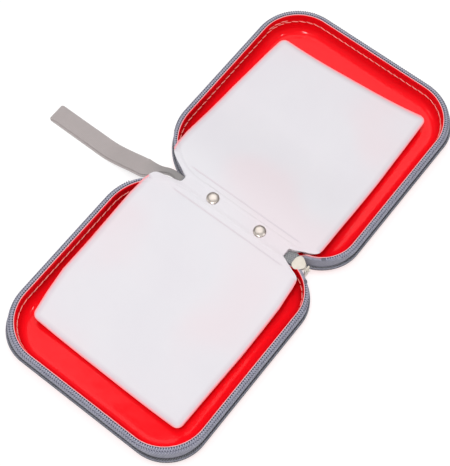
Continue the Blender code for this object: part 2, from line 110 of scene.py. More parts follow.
def makeStations():
    # Stations round a half: each is a point of one corner's arc, or a share of the way between two corners.
    # Corner 0 is the hinge corner towards -Y, then the two outer corners, then the other hinge corner.
    rows = []
    turns = int(90 / half["stepDegrees"])
    long = rimEnd - rimStart - half["outerRadius"] - half["hingeRadius"]
    lengths = (long, 2 * (rimSide - half["outerRadius"]), long, 2 * (rimSide - half["hingeRadius"]))
    for corner in range(4):
        first = 180 + 90 * corner
        for angle in first + 90 * np.arange(turns + 1) / turns:
            rows.append((corner, angle, corner, angle, 0))
        steps = int(lengths[corner] / half["stepSide"])
        for share in np.arange(1, steps) / steps:
            rows.append((corner, first + 90, (corner + 1) % 4, first + 90, share))
    return np.array(rows).T


cornerA, angleA, cornerB, angleB, sideShare = makeStations()
stationCount = len(sideShare)


def cornerPoint(corner, angle, offset, outerRadius, hingeRadius):
    # a corner's centre plus its radius in the direction of the angle
    far = (corner == 1) | (corner == 2)
    radius = np.where(far, outerRadius, hingeRadius + half["rounder"] * (corner == 3))
    x = np.where(far, rimEnd + offset - radius, rimStart - offset + radius)
    y = np.where(corner >= 2, 1, -1) * (rimSide + offset - radius)
    turn = np.radians(angle)
    return x + radius * np.cos(turn), y + radius * np.sin(turn)


def outline(offset, outerRadius=None, hingeRadius=None):
    # Rounded rectangle round a half at a distance outside the rim line, one point at each station
    if outerRadius is None:
        outerRadius = half["outerRadius"] + offset
    if hingeRadius is None:
        hingeRadius = half["hingeRadius"] + offset
    ax, ay = cornerPoint(cornerA, angleA, offset, outerRadius, hingeRadius)
    bx, by = cornerPoint(cornerB, angleB, offset, outerRadius, hingeRadius)
    return ax + (bx - ax) * sideShare, ay + (by - ay) * sideShare


def aroundSpine():
    # Degrees round the hinge corners away from the spine; 90 on the other sides, -1 on the spine side
    turn = np.full(stationCount, 90.0)
    arcs = sideShare == 0
    first = arcs & (cornerA == 0)
    last = arcs & (cornerA == 3)
    turn[first] = angleA[first] - 180
    turn[last] = 540 - angleA[last]
    turn[(cornerA == 3) & (sideShare > 0)] = -1
    return turn


spineTurn = aroundSpine()
bulge = smooth(spineTurn, *half["bowTurn"])  # how far the zip tape bows out: not at all beside the spine
rimX, rimY = outline(np.zeros(stationCount))
rimStep = np.hypot(np.diff(np.append(rimX, rimX[0])), np.diff(np.append(rimY, rimY[0])))
rimLength = np.concatenate([[0], np.cumsum(rimStep)])


def newStore():
    # an empty shape, to which grids are added one after another
    return {"points": [], "quads": [], "uvs": [], "count": 0}


def addGrid(store, points, uv=None, wrap=False):
    # Quads between neighbouring points of a rows by columns grid; wrap joins its last column to its first
    rows, columns = points.shape[:2]
    index = store["count"] + np.arange(rows * columns).reshape(rows, columns)
    if wrap:
        index = np.concatenate([index, index[:, :1]], axis=1)
    if uv is None:
        uv = np.zeros((*index.shape, 2))
    corners = ((slice(None, -1), slice(None, -1)), (slice(None, -1), slice(1, None)))
    corners += ((slice(1, None), slice(1, None)), (slice(1, None), slice(None, -1)))
    store["quads"].append(np.stack([index[c] for c in corners], axis=-1).reshape(-1, 4))
    store["uvs"].append(np.stack([uv[c] for c in corners], axis=2).reshape(-1, 4, 2))
    store["points"].append(points.reshape(-1, 3))
    store["count"] += rows * columns
    return store


def finishMesh(name, store, material, side=1, sharp=40):
    # Millimetres from the spine become metres in the model's frame; doubles are merged, faces turned outwards
    points = np.concatenate(store["points"]).astype(float)
    quads = np.concatenate(store["quads"])
    uvs = np.concatenate(store["uvs"])
    points = points * (side, 1, 1) + (spineX, 0, 0)
    mesh = bpy.data.meshes.new(name)
    mesh.vertices.add(len(points))
    mesh.vertices.foreach_set("co", (points * mm).ravel())
    mesh.loops.add(quads.size)
    mesh.loops.foreach_set("vertex_index", quads.ravel())
    mesh.polygons.add(len(quads))
    mesh.polygons.foreach_set("loop_start", np.arange(len(quads)) * 4)
    mesh.update(calc_edges=True)
    layer = mesh.uv_layers.new(name="pattern")
    layer.data.foreach_set("uv", uvs.ravel())
    builder = bmesh.new()
    builder.from_mesh(mesh)
    bmesh.ops.remove_doubles(builder, verts=builder.verts, dist=0.001 * mm)
    bmesh.ops.recalc_face_normals(builder, faces=builder.faces)
    builder.to_mesh(mesh)
    builder.free()
    mesh.shade_smooth()
    mesh.set_sharp_from_angle(angle=math.radians(sharp))
    mesh.materials.append(material)
    thing = bpy.data.objects.new(name, mesh)
    bpy.context.scene.collection.objects.link(thing)
    return thing


def stacked(x, y, z):
    # points from three coordinates, each a number or an array that is spread to the size of the others
    return np.stack(np.broadcast_arrays(x, y, z), axis=-1)


def unit(vectors):
    # the same directions at length one
    return vectors / np.maximum(np.linalg.norm(vectors, axis=-1, keepdims=True), 0.001)


def lengthAlong(points):
    # length of a line from its first point to each of its points
    return np.concatenate([[0], np.cumsum(np.linalg.norm(np.diff(points, axis=0), axis=-1))])


def linear(text):
    # sRGB hex to linear red, green, blue and alpha
    part = np.array([int(text[i:i + 2], 16) for i in (1, 3, 5)]) / 255
    flat = np.where(part <= 0.04045, part / 12.92, ((part + 0.055) / 1.055) ** 2.4)
    return (*flat.tolist(), 1.0)


def connect(tree, node, links):
    # links are numbers, colours or other nodes' outputs, by socket
    for key, value in links.items():
        if isinstance(value, bpy.types.NodeSocket):
            tree.links.new(value, node.inputs[key])
        else:
            node.inputs[key].default_value = value


def addNode(tree, kind, links, **settings):
    # one shader node with its settings and links; it gives the node's outputs
    node = tree.nodes.new("ShaderNode" + kind)
    for key, value in settings.items():
        setattr(node, key, value)
    connect(tree, node, links)
    return node.outputs


colours = {"data_type": "RGBA"}  # a Mix node for colours: sockets 0, 6 and 7 in, 2 out
easing = {"interpolation_type": "SMOOTHSTEP"}


def newMaterial(name, **sizes):
    # A new material, its tree, and a noise on Object coordinates for each size of lump: millimetres, detail
    material = bpy.data.materials.new(name)
    material.use_nodes = True
    tree = material.node_tree
    lumps = {}
    for key, (size, detail) in sizes.items():
        place = addNode(tree, "TexCoord", {})["Object"]
        links = {"Vector": place, "Scale": 1 / (size * mm), "Detail": detail}
        lumps[key] = addNode(tree, "TexNoise", links)[0]
    return material, tree, lumps


def patternUv(tree):
    # the piece's own pattern: millimetres along it and across it
    place = addNode(tree, "UVMap", {}, uv_map="pattern")[0]
    return addNode(tree, "SeparateXYZ", {0: place})[:2]


def finishMaterial(material, colour, height, depth, strength, **values):
    # Colour, bump and the finish's own values go to the shader; depth is the bump's, in millimetres
    tree = material.node_tree
    bump = addNode(tree, "Bump", {"Height": height, "Distance": depth * mm, "Strength": strength})[0]
    links = {key.replace("_", " "): value for key, value in values.items()}
    connect(tree, tree.nodes["Principled BSDF"], {"Base Color": colour, "Normal": bump, **links})
    return material


def redPlastic():
    # High-impact polystyrene, vacuum formed over a polished mould: a wet, slightly rippled red gloss
    look = {"base": "#FA1622", "deep": "#F20C18", "grain": 0.04, "polished": 0.1, "wiped": 0.16}
    sizes = {"cloud": (48, 2), "wipe": (6, 4), "ripple": (16, 2), "grain": (0.9, 2)}
    material, tree, lumps = newMaterial("moulded_polystyrene_red", **sizes)
    links = {0: lumps["cloud"], 6: linear(look["deep"]), 7: linear(look["base"])}
    colour = addNode(tree, "Mix", links, **colours)[2]
    rough = addNode(tree, "MapRange", {0: lumps["wipe"], 3: look["polished"], 4: look["wiped"]})[0]
    grain = addNode(tree, "Math", {0: lumps["grain"], 1: look["grain"]}, operation="MULTIPLY")[0]
    height = addNode(tree, "Math", {0: lumps["ripple"], 1: grain}, operation="ADD")[0]
    values = {"Roughness": rough, "IOR": 1.5, "Specular IOR Level": 0.22}
    return finishMaterial(material, colour, height, 0.6, 0.5, **values)


def sleeveFilm():
    # Polypropylene film, welded in sleeves: milky and softly shiny. A pink border at its edge is painted red
    # glow, for the red showing through the film, and a grey band inside it is painted shade
    # edge is the pink of the painted red glow at the film's edge; rim is the grey of the painted shade band
    # inside it, also laid along the weld line
    look = {"milk": "#E6E4E8", "shade": "#DFDCE2", "blush": "#E6DCE1", "edge": "#FF9EA2", "rim": "#D8CED5"}
    sizes = {"cloud": (45, 3), "patch": (70, 1), "ripple": (24, 2), "grain": (0.8, 2)}
    material, tree, lumps = newMaterial("polypropylene_film_milky", **sizes)
    milk, shade, blush, edge, rim = (linear(value) for value in look.values())
    inside, weld = patternUv(tree)
    patches = addNode(tree, "MapRange", {0: lumps["patch"], 1: 0.5, 2: 0.75}, **easing)[0]
    pastPaintedShade = addNode(tree, "MapRange", {0: inside, 1: 1.2, 2: 5.5}, **easing)[0]
    pastPaintedRedGlow = addNode(tree, "MapRange", {0: inside, 1: 0.1, 2: 2}, **easing)[0]
    colour = addNode(tree, "Mix", {0: lumps["cloud"], 6: shade, 7: milk}, **colours)[2]
    colour = addNode(tree, "Mix", {0: patches, 6: colour, 7: blush}, **colours)[2]
    # painted shade: grey up to 1.2 mm inside the edge, fading out by 5.5 mm
    colour = addNode(tree, "Mix", {0: pastPaintedShade, 6: rim, 7: colour}, **colours)[2]
    colour = addNode(tree, "Mix", {0: weld, 6: colour, 7: rim}, **colours)[2]
    # painted red glow: a pink border up to 2 mm inside the edge, for the tray's red seen through the film
    colour = addNode(tree, "Mix", {0: pastPaintedRedGlow, 6: edge, 7: colour}, **colours)[2]
    grain = addNode(tree, "Math", {0: lumps["grain"], 1: 0.05}, operation="MULTIPLY")[0]
    height = addNode(tree, "Math", {0: lumps["ripple"], 1: grain}, operation="ADD")[0]
    values = {"Roughness": 0.45, "IOR": 1.49, "Specular IOR Level": 0.3}
    return finishMaterial(material, colour, height, 0.6, 0.35, **values)


def wovenCloth(name, light, dark, pitch, band, depth):
    # Polyester tape in herringbone: stripes a pitch apart that turn back at each band across it.
    # Its real ribs are about 0.5 mm apart, drawn coarser so that they show.
    material, tree, lumps = newMaterial(name, fuzz=(1.6, 2))
    along, across = patternUv(tree)
    zig = addNode(tree, "Math", {0: across, 1: band}, operation="PINGPONG")[0]
    slant = addNode(tree, "Math", {0: along, 1: zig}, operation="ADD")[0]
    stripe = addNode(tree, "Math", {0: slant, 1: pitch / 2}, operation="PINGPONG")[0]
    rib = addNode(tree, "Math", {0: stripe, 1: pitch / 2}, operation="DIVIDE")[0]
    fuzzy = addNode(tree, "Math", {0: rib, 1: lumps["fuzz"]}, operation="ADD")[0]
    share = addNode(tree, "MapRange", {0: fuzzy, 1: 0.4, 2: 1.6}, **easing)[0]
    colour = addNode(tree, "Mix", {0: share, 6: linear(dark), 7: linear(light)}, **colours)[2]
    return finishMaterial(material, colour, rib, depth, 0.8, Roughness=0.85, Sheen_Weight=0.2)


def nylon(name, dark, light):
    # Nylon monofilament: hard, satin, with a small bright spot on each turn
    material, tree, lumps = newMaterial(name, cloud=(5, 2), grain=(0.5, 2))
    colour = addNode(tree, "Mix", {0: lumps["cloud"], 6: linear(dark), 7: linear(light)}, **colours)[2]
    return finishMaterial(material, colour, lumps["grain"], 0.1, 0.3, Roughness=0.4, IOR=1.53)


def sewingThread(name, dark, light):
    # Spun polyester thread, two strands twisted: pale, with the red shining back on it painted in as a pink
    # tint
    strand = 0.5  # width of a strand
    material, tree = newMaterial(name)[:2]
    along, across = patternUv(tree)
    slant = addNode(tree, "Math", {0: along, 1: across}, operation="ADD")[0]
    twist = addNode(tree, "Math", {0: slant, 1: strand}, operation="PINGPONG")[0]
    colour = addNode(tree, "Mix", {0: twist, 6: linear(dark), 7: linear(light)}, **colours)[2]
    return finishMaterial(material, colour, twist, 0.1, 0.5, Roughness=0.7)


def satinRibbon():
    # Polyester satin, woven with long floats and heat-cut: a soft warm grey sheen, darker towards its
    # gathered root with painted shade
    look = {"light": "#B5ACAB", "dark": "#A79E9D", "gatheredShade": "#8F8B8A", "rib": 1.1, "open": (8, 34)}
    material, tree, lumps = newMaterial("polyester_satin_grey", slub=(3.5, 3))
    along = patternUv(tree)[0]
    fold = addNode(tree, "Math", {0: along, 1: look["rib"] / 2}, operation="PINGPONG")[0]
    rib = addNode(tree, "Math", {0: fold, 1: look["rib"] / 2}, operation="DIVIDE")[0]
    both = addNode(tree, "Math", {0: rib, 1: lumps["slub"]}, operation="ADD")[0]
    mean = addNode(tree, "Math", {0: both, 1: 0.5}, operation="MULTIPLY")[0]
    # painted shade: darker up to 8 mm from the root, where the ribbon is gathered, fading out by 34 mm
    pastRootShade = addNode(tree, "MapRange", {0: along, 1: look["open"][0], 2: look["open"][1]}, **easing)[0]
    colour = addNode(tree, "Mix", {0: mean, 6: linear(look["dark"]), 7: linear(look["light"])}, **colours)[2]
    colour = addNode(tree, "Mix", {0: pastRootShade, 6: linear(look["gatheredShade"]), 7: colour}, **colours)[2]
    return finishMaterial(material, colour, mean, 0.2, 0.5, Roughness=0.5, Sheen_Weight=0.25)


def platedMetal(name, light, dark, roughness):
    # Brass stamping with a nickel plate, tumbled: warm pale metal, faintly cloudy where it is handled
    material, tree, lumps = newMaterial(name, cloud=(3, 3), touch=(1.5, 4), grain=(0.7, 2))
    colour = addNode(tree, "Mix", {0: lumps["cloud"], 6: linear(dark), 7: linear(light)}, **colours)[2]
    rough = addNode(tree, "MapRange", {0: lumps["touch"], 3: roughness * 0.8, 4: roughness * 1.3})[0]
    return finishMaterial(material, colour, lumps["grain"], 0.05, 0.3, Metallic=1.0, Roughness=rough)


def enamelledMetal(name, light, dark):
    # Zinc casting under baked cream enamel: soft-edged and waxy, with fine pits
    material, tree, lumps = newMaterial(name, cloud=(2.5, 3), pits=(0.8, 2))
    colour = addNode(tree, "Mix", {0: lumps["cloud"], 6: linear(dark), 7: linear(light)}, **colours)[2]
    values = {"Roughness": 0.36, "Specular IOR Level": 0.35}
    return finishMaterial(material, colour, lumps["pits"], 0.1, 0.4, **values)


red = redPlastic()
film = sleeveFilm()
tapeCloth = wovenCloth("polyester_tape_lavender", "#B2B1BF", "#7E7F92", 1.6, 1.6, 0.25)
pipingCloth = wovenCloth("polyester_piping_grey", "#85868B", "#4A4B51", 1.8, 40, 0.4)
hingeCloth = wovenCloth("polyester_hinge_tape_grey", "#A6A7A9", "#787A7E", 1.5, 1.5, 0.25)
coilNylon = nylon("nylon_coil_lavender", "#A9AABD", "#C2C4D4")
coreNylon = nylon("nylon_core_navy", "#23253A", "#34364D")
# the stitching and rim welt threads are pale; their pink and rose tints are painted red glow from the tray
thread = sewingThread("polyester_thread_pale_painted_red_glow", "#FF958C", "#FFB8B0")
weltThread = sewingThread("polyester_thread_paler_painted_red_glow", "#F3B9BE", "#FBD6D8")
satin = satinRibbon()
nickel = platedMetal("nickel_plated_brass", "#F4EAE2", "#DDD1C7", 0.3)
stopMetal = platedMetal("nickel_plated_stop_strip", "#A6A6B0", "#8C8C98", 0.62)
enamel = enamelledMetal("enamelled_zinc_cream", "#EAE2D6", "#DCD3C6")
print("materials made")

tray = {
    "fillet": 7.5,  # how far the curve from floor to wall reaches in
    "filletPower": 2,
    "lean": 1,  # how far the wall leans out from floor to rim
    "rimDrop": 6.8,  # how much lower the rim is at the spine, where the sleeves pass over it
    "riseTurn": (3, 15),  # degrees round a hinge corner where the rim starts to rise again, and over how many
    "lip": 0.6,
    "lipTurn": (150, 30, 5),  # degrees of the lip's half round, from its inner side to its outer one
    "levels": 26,
}
floorHeight = trayLow[2] + half["wall"]
stationRim = rimTop - tray["rimDrop"] * (1 - smooth(spineTurn, *tray["riseTurn"]))


def trayCurve(angle):
    # From floor (0) to rim (90): the inset falls as (1 - sine) squared, the height is 1 - cosine
    inset = tray["fillet"] * (1 - np.sin(angle)) ** tray["filletPower"] + tray["lean"] * np.cos(angle)
    return inset, floorHeight + (rimTop - floorHeight) * (1 - np.cos(angle))


def angleAt(level):
    # the same curve's angle at a height
    return np.arccos(1 - (level - floorHeight) / (rimTop - floorHeight))


def towardsMiddle(ring, shares, level):
    # rings that shrink from an outline to one point at its middle, at one height
    share = np.array(shares)[:, None, None]
    middle = np.array(((rimStart + rimEnd) / 2, 0, level))
    return ring * share + middle * (1 - share)


def alongside(offset, height, away):
    # The parallel curve: each point moves sideways, at a right angle to the curve's own step there
    slope = np.gradient(offset, axis=0)
    rise = np.gradient(height, axis=0)
    size = np.maximum(np.hypot(slope, rise), 0.001)
    return offset + away * rise / size, height - away * slope / size


def dress(piece, body, slot, *nodes):
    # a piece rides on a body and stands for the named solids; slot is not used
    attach(piece, body)
    if nodes:
        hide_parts(*nodes)


def makeTray(label, side):
    # Inner face up to the rim, a half round lip over it, and the outer face parallel to the inner one
    wall = half["wall"]
    topAngle = angleAt(stationRim - tray["lip"])
    inset, height = trayCurve(topAngle * np.linspace(0, 1, tray["levels"])[:, None])
    outerOffset, outerHeight = alongside(-inset, height, wall)
    turn = np.radians(np.linspace(*tray["lipTurn"]))[:, None]
    lipOffset = (outerOffset[-1] - inset[-1]) / 2 + wall / 2 * np.cos(turn)
    lipHeight = height[-1] + tray["lip"] * np.sin(turn)
    x, y = outline(np.concatenate([-inset, lipOffset, outerOffset[::-1]]))
    faces = stacked(x, y, np.concatenate([height, lipHeight, outerHeight[::-1]]))
    inside = towardsMiddle(faces[0], closing, floorHeight)
    outside = towardsMiddle(faces[-1], closing[::-1], floorHeight - wall)
    rings = np.concatenate([inside[:-1], faces, outside[1:]])
    piece = finishMesh(label + "_tray_moulded", addGrid(newStore(), rings, wrap=True), red, side, 60)
    dress(piece, label + "_shell", "inner_tray", label + "_tray")


cover = {
    "wall": 2.5,
    "baseInset": 10,
    "sideOffset": 3.4,
    "outerRadius": 28,
    "hingeRadius": 29.4,
    "share": 0.6,  # how much of the inset its corners give up in radius
    "levels": 18,
}


def makeCover(label, side):
    # Flat base, then a quarter ellipse out to the side; the inner face follows a wall's thickness inside
    angle = np.linspace(0, math.pi / 2, cover["levels"])[:, None]
    offset = cover["sideOffset"] - (cover["baseInset"] + cover["sideOffset"]) * (1 - np.sin(angle))
    height = coverTop * (1 - np.cos(angle))
    innerOffset, innerHeight = alongside(offset, height, -cover["wall"])
    faces = []
    for away, level in ((offset, height), (innerOffset, np.minimum(innerHeight, coverTop))):
        shrink = (cover["sideOffset"] - away) * cover["share"]
        away = away + np.zeros(stationCount)
        x, y = outline(away, cover["outerRadius"] - shrink, cover["hingeRadius"] - shrink)
        faces.append(stacked(x, y, level))
    outer, inner = faces[0], faces[1][::-1]
    start = towardsMiddle(outer[0], closing, 0)
    end = towardsMiddle(inner[-1], closing[::-1], cover["wall"])
    rings = np.concatenate([start[:-1], outer, inner, end[1:]])
    piece = finishMesh(label + "_cover_moulded", addGrid(newStore(), rings, wrap=True), red, side, 50)
    dress(piece, label + "_shell", "outer_shell", label + "_cover")


zipTape = {
    "thickness": 0.7,
    "start": 3.1,  # how far outside the rim line it leaves the piping, and at what height
    "base": 9.4,
    "bulge": 5.0,  # how far it bows out
    "legOffset": 2.9,  # beside the spine it hangs straight down behind the piping
    "legBase": 8.2,
    "shoulder": 0.72,  # share of its width up to the shoulder
    "shares": ((0, 0.7, 12), (0.74, 1, 9)),  # stations up to the shoulder and over it
    "drop": 1.9,
    "edge": 1.2,  # its sewn edge covers the tray's rim to here
    "over": 0.2,  # how far over the rim it lies, or under the rim beside the spine
}
tapeTop = rimTop + zipTape["over"]


def tapeCurve(share):
    # From the piping (0) a quarter sine bows out to the shoulder, and a level lip comes in over the rim (1)
    shoulder = zipTape["shoulder"]
    low = np.clip(share / shoulder, 0, 1)
    high = np.clip((share - shoulder) / (1 - shoulder), 0, 1)
    offset = zipTape["start"] + (zipTape["bulge"] - zipTape["start"]) * np.sin(low * np.pi / 2)
    offset = offset + (zipTape["edge"] - zipTape["bulge"]) * high
    height = zipTape["base"] + (tapeTop - zipTape["drop"] - zipTape["base"]) * low
    height = height + zipTape["drop"] * np.sin(high * np.pi / 2)
    legOffset = zipTape["legOffset"] + (zipTape["edge"] - zipTape["legOffset"]) * high
    legHeight = zipTape["legBase"] + (stationRim - zipTape["over"] - zipTape["legBase"]) * low
    mixedOffset = legOffset + (offset - legOffset) * bulge
    shoulderRadius = half["outerRadius"] + zipTape["bulge"]
    outerRadius = cover["outerRadius"] + (shoulderRadius - cover["outerRadius"]) * low
    outerRadius = np.where(share > shoulder, half["outerRadius"] + mixedOffset, outerRadius)
    return mixedOffset, legHeight + (height - legHeight) * bulge, outerRadius + 0 * mixedOffset


def makeTape(label, side):
    # The tape's face, and its back one thickness inside, joined at both edges
    share = np.concatenate([np.linspace(*part) for part in zipTape["shares"]])[:, None]
    offset, height, outerRadius = tapeCurve(share)
    backOffset, backHeight = alongside(offset, height, -zipTape["thickness"])
    backRadius = outerRadius - (offset - backOffset)
    face = stacked(*outline(offset, outerRadius, half["hingeRadius"] + offset), height)
    back = stacked(*outline(backOffset, backRadius, half["hingeRadius"] + backOffset), backHeight)
    rings = np.concatenate([face, back[::-1], face[:1]])
    middle = rings[:, int(np.argmax(rimX))]
    uv = stacked(rimLength, lengthAlong(middle)[:, None], 0)[..., :2]
    piece = finishMesh(label + "_tape_woven", addGrid(newStore(), rings, uv, wrap=True), tapeCloth, side, 60)
    dress(piece, label + "_shell", "zip_tape", label + "_zip_tape")


piping = {
    "radius": 1.45,
    "offset": 3.4,
    "height": 7.9,
    "swell": 0.2,  # how much thicker, and how much further out, it is where the tape bows out
    "shift": 0.5,
    "sides": 16,
    "pattern": 1.5,  # millimetres of weave for each radian round it
    "seam_painted_highlight": (0.35, 0.62, 0.72),  # the fine pale cord on it, a painted highlight line: radius, and its place out and up in piping radii
}


def makePiping(label, side):
    # A round section carried round the cover's edge, thicker where the tape bows out, with a fine cord on it
    # drawn pale as a painted highlight line
    turn = np.linspace(0, 2 * math.pi, piping["sides"] + 1)[:, None]
    radius = piping["radius"] + piping["swell"] * bulge
    centre = piping["offset"] + piping["shift"] * bulge
    # the fine cord is in the pale tape cloth: a painted highlight along the piping
    parts = (("cord", pipingCloth, radius, 0, 0), ("seam_painted_highlight", tapeCloth, *piping["seam_painted_highlight"]))
    for name, material, size, away, lift in parts:
        offset = centre + radius * away + size * np.cos(turn)
        grow = offset - piping["offset"]
        x, y = outline(offset, cover["outerRadius"] + grow, cover["hingeRadius"] + grow)
        z = piping["height"] + radius * lift + size * np.sin(turn)
        uv = stacked(rimLength, turn * piping["pattern"], 0)[..., :2]
        store = addGrid(newStore(), stacked(x, y, z), uv, wrap=True)
        piece = finishMesh(f"{label}_piping_{name}", store, material, side)
        nodes = [label + "_piping"] if name == "cord" else []
        dress(piece, label + "_shell", "piping", *nodes)


nearStep = 0.5  # millimetres before and after a place, between which its direction is measured


def routeOf(offset, firstTurn):
    # The line at an offset outside the rim, from a turn round one hinge corner to the same at the other
    x, y = outline(np.full(stationCount, float(offset)))
    kept = (spineTurn >= firstTurn) | ((sideShare > 0) & (cornerA < 3))
    points = np.stack([x[kept], y[kept]], axis=-1)
    return points, lengthAlong(points)


def placesAlong(route, distances):
    # Points at distances along a route, the direction there and the one out of it
    points, length = route
    near = []
    for step in (-nearStep, 0, nearStep):
        near.append(np.stack([np.interp(distances + step, length, points[:, i]) for i in (0, 1)], axis=-1))
    direction = unit(near[2] - near[0])
    return near[1], direction, np.stack([direction[:, 1], -direction[:, 0]], axis=-1)


def ovals(place, lengthways, sideways, z, size, sections, sides):
    # Many small rounded bars at once: sections along each, every one an oval that closes at both ends
    t = np.linspace(-1, 1, sections)
    swell = np.sqrt(1 - t ** 4)
    turn = np.linspace(0, 2 * math.pi, sides, endpoint=False)
    out = np.broadcast_to(t[:, None] * size[0], (sections, sides))[..., None]
    wide = (swell[:, None] * np.cos(turn) * size[1])[..., None]
    high = swell[:, None] * np.sin(turn) * size[2]
    place, lengthways, sideways = (part[:, None, None] for part in (place, lengthways, sideways))
    spot = place + lengthways * out + sideways * wide
    level = np.broadcast_to(z + high, spot.shape[:-1])
    return np.concatenate([spot, level[..., None]], axis=-1)


def addBars(store, bars):
    # each bar is a grid of its own; its pattern runs 0.5 mm for each section and 0.3 mm for each side
    rows = np.arange(bars.shape[1])[:, None] * 0.5
    columns = np.arange(bars.shape[2] + 1)[None] * 0.3
    uv = stacked(rows, columns, 0)[..., :2]
    for bar in bars:
        addGrid(store, bar, uv, wrap=True)
    return store


def addCord(store, points, radius, sides=8):
    # A round cord along points in space, closed at both ends; uv runs along it and round it in millimetres
    ahead = unit(np.gradient(points, axis=0))
    across = unit(np.cross(ahead, (0, 0, 1)))
    up = np.cross(across, ahead)
    turn = np.linspace(0, 2 * math.pi, sides, endpoint=False)[:, None]
    body = points[:, None] + (across[:, None] * np.cos(turn) + up[:, None] * np.sin(turn)) * radius
    ends = points[[0, -1], None].repeat(sides, axis=1)
    along = lengthAlong(np.concatenate([points[:1], points, points[-1:]]))
    uv = stacked(along[:, None], np.linspace(0, 2 * math.pi * radius, sides + 1)[None], 0)[..., :2]
    return addGrid(store, np.concatenate([ends[:1], body, ends[1:]]), uv, wrap=True)


coil = {
    "pitch": 1.7,  # a little coarser than the real coil's 1.3 mm, so that its turns show
    "inner": 1.1,  # tips of the turns, outside the rim line
    "outer": 2.9,
    "width": 0.45,
    "height": 0.36,
    "start": 42,  # degrees round a hinge corner where it starts
    "core": 0.45,
    "coreOffset": 1.5,
    "coreLift": 0.12,
    "coreStations": 340,
    "sewing": 3.7,
    "sewingStart": 62,
    "bar": (0.5, 0.32, 0.22),  # half sizes of a sewn stitch: along the coil, across it, and its height
    "clip": (1.6, 1.2, 0.4),  # half sizes of an end stop
    "sunk": 0.05,  # how deep stitches and stops sit in the tape
    "turnSteps": (6, 6),  # sections along a turn, a sewn stitch or a stop, and points round each
    "barSteps": (4, 6),
    "clipSteps": (10, 12),
}
coilRoute = routeOf((coil["inner"] + coil["outer"]) / 2, coil["start"])


def spacedPlaces(route, pitch):
    # as many places as fit along a route at a pitch, evenly spread
    length = route[1][-1]
    count = int(length / pitch)
    return placesAlong(route, (np.arange(count) + 0.5) / count * length)


def makeCoil(label, side):
    # Turns of filament across the tape's edge on a dark core, and the stitches that hold them
    place, direction, outward = spacedPlaces(coilRoute, coil["pitch"])
    size = ((coil["outer"] - coil["inner"]) / 2, coil["width"], coil["height"])
    turns = ovals(place, outward, direction, tapeTop + coil["height"], size, *coil["turnSteps"])
    piece = finishMesh(label + "_coil_turns", addBars(newStore(), turns), coilNylon, side, 50)
    dress(piece, label + "_shell", "zip_coil", label + "_zip_coil")
    route = routeOf(coil["coreOffset"], coil["start"])
    spot = placesAlong(route, np.linspace(0, route[1][-1], coil["coreStations"]))[0]
    points = np.concatenate([spot, np.full((len(spot), 1), tapeTop + coil["coreLift"])], axis=-1)
    store = addCord(newStore(), points, coil["core"])
    place, direction, outward = spacedPlaces(routeOf(coil["sewing"], coil["sewingStart"]), coil["pitch"])
    level = tapeTop - coil["sunk"]
    addBars(store, ovals(place, direction, outward, level, coil["bar"], *coil["barSteps"]))
    piece = finishMesh(label + "_coil_core", store, coreNylon, side, 50)
    dress(piece, label + "_shell", "zip_coil")


welt = {"offset": 0.8, "lift": 0.1, "radius": 0.32}


def makeWelt(label, side):
    # A thin cord all along the rim, cut where it is out of sight beside the spine
    x, y = outline(np.full(stationCount, welt["offset"]))
    ring = np.stack([x, y, stationRim + welt["lift"]], axis=-1)
    ring = np.roll(ring, -int(np.argmin(abs(spineTurn + 1))), axis=0)
    store = addCord(newStore(), ring, welt["radius"])
    piece = finishMesh(label + "_rim_welt", store, weltThread, side, 50)
    dress(piece, label + "_shell", "inner_tray")


def makeStops(label, side):
    # A metal stop is pressed over the coil just past each end of it
    reach = coil["clip"][0]
    level = tapeTop - coil["sunk"]
    spots, ahead, out = placesAlong(coilRoute, np.array([nearStep, coilRoute[1][-1] - nearStep]))
    spots = spots + ahead * np.array([[-reach], [reach]])
    for i, name in enumerate(("lower", "upper")):
        one = slice(i, i + 1)
        bars = ovals(spots[one], ahead[one], out[one], level, coil["clip"], *coil["clipSteps"])
        piece = finishMesh(f"{label}_stop_{name}", addBars(newStore(), bars), stopMetal, side, 50)
        dress(piece, label + "_shell", "nickel", f"{label}_{name}_stop")


stitch = {
    "pitch": 5.4,
    "gap": -0.8,  # below nought, because each thread reaches past the start of the next
    "radius": 0.34,
    "below": 6.9,  # how far under the rim
    "start": 24,
    "slant": 0.5,
    "double": (28, 25),  # the seam was ended between these stitches from its end, with a second row
    "second": 2.2,  # how far that row is over the first
    "depth": (0.1, 0.3, 0.08),  # in the wall at a thread's middle, less at its ends, less with height
    "sections": 7,
    "sides": 6,
    "pattern": (0.6, 0.3),  # millimetres of twist for each section, and for each side
}


